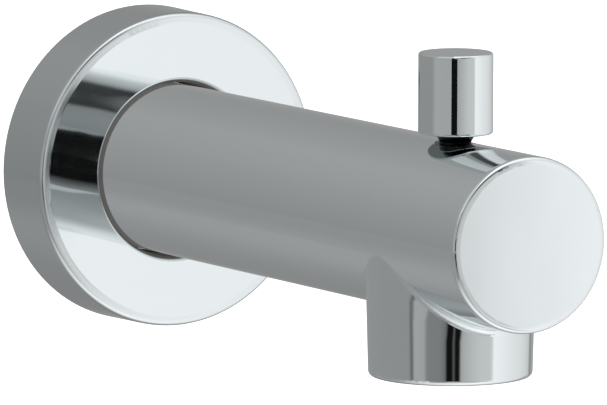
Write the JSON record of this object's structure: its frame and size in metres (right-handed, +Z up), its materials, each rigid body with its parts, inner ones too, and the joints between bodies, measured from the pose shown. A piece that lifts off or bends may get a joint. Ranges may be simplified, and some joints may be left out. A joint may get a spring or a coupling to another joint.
{
  "type": "bath spout",
  "caption": "Wall-mounted bath spout: round barrel with closed front, round wall flange, down-facing outlet and a lift knob on top that diverts the water to a shower.",
  "frame": {"origin": "centre of the wall flange's back plane, on the barrel's axis, where the spout meets the wall", "axes": "+Z up, towards the lift knob; +Y into the wall, so the spout reaches out along -Y; +X to the right seen from the front"},
  "size_m": [0.071, 0.1653, 0.0737],
  "materials": {
    "chrome_plate": "polished chrome plate",
    "brass": "turned",
    "steel": "turned stainless",
    "black_rubber": "matt",
    "black_acetal": "moulded"
  },
  "bodies": {
    "spout": {"spout_body": "chrome_plate", "wall_flange": "chrome_plate", "flange_o_ring": "black_rubber", "inlet_adapter": "brass", "adapter_o_ring": "black_rubber", "tube_o_ring_rear": "black_rubber", "tube_o_ring_front": "black_rubber", "set_screw": "steel", "stem_bushing": "black_acetal", "stem_o_ring": "black_rubber", "bushing_o_ring": "black_rubber"},
    "gate": {"diverter_gate": "black_acetal", "gate_seal": "black_rubber"},
    "knob": {"diverter_knob": "chrome_plate", "lift_stem": "steel"}
  },
  "joints": [
    {"name": "diverter_lift", "type": "slide", "parent": "spout", "child": "gate", "axis": [0, 0, 1], "range_m": [0, 0.012]},
    {"name": "knob_spin", "type": "hinge", "parent": "gate", "child": "knob", "pos_m": [0, -0.1348, 0], "axis": [0, 0, 1], "continuous": true}
  ]
}
